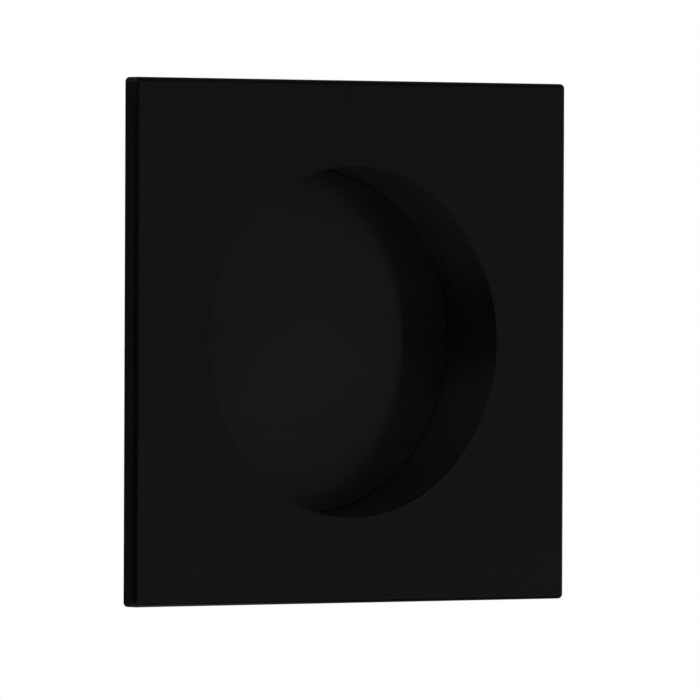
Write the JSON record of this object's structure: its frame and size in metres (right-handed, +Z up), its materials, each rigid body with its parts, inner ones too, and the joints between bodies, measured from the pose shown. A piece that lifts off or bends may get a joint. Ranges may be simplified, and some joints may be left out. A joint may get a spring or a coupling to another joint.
{
  "type": "pocket door pull",
  "caption": "Square flush pull for a sliding door, with a round straight-walled finger recess, a cup that fits a bore in the door and concealed fixing.",
  "frame": {"origin": "on the cup's axis, in the plane of the plate's back, which lies on the door's face", "axes": "+Y along the cup into the door, the plate's face towards -Y, +Z up, +X to the right of someone who faces the plate"},
  "size_m": [0.0762, 0.0233, 0.0762],
  "materials": {
    "black_coat": "satin",
    "foam_tape": "matte",
    "zinc_screw": "satin"
  },
  "bodies": {
    "root": {"housing": "black_coat", "cover_disc": "black_coat", "adhesive_pad": "foam_tape", "upper_fixing_screw": "zinc_screw", "lower_fixing_screw": "zinc_screw"}
  },
  "joints": []
}
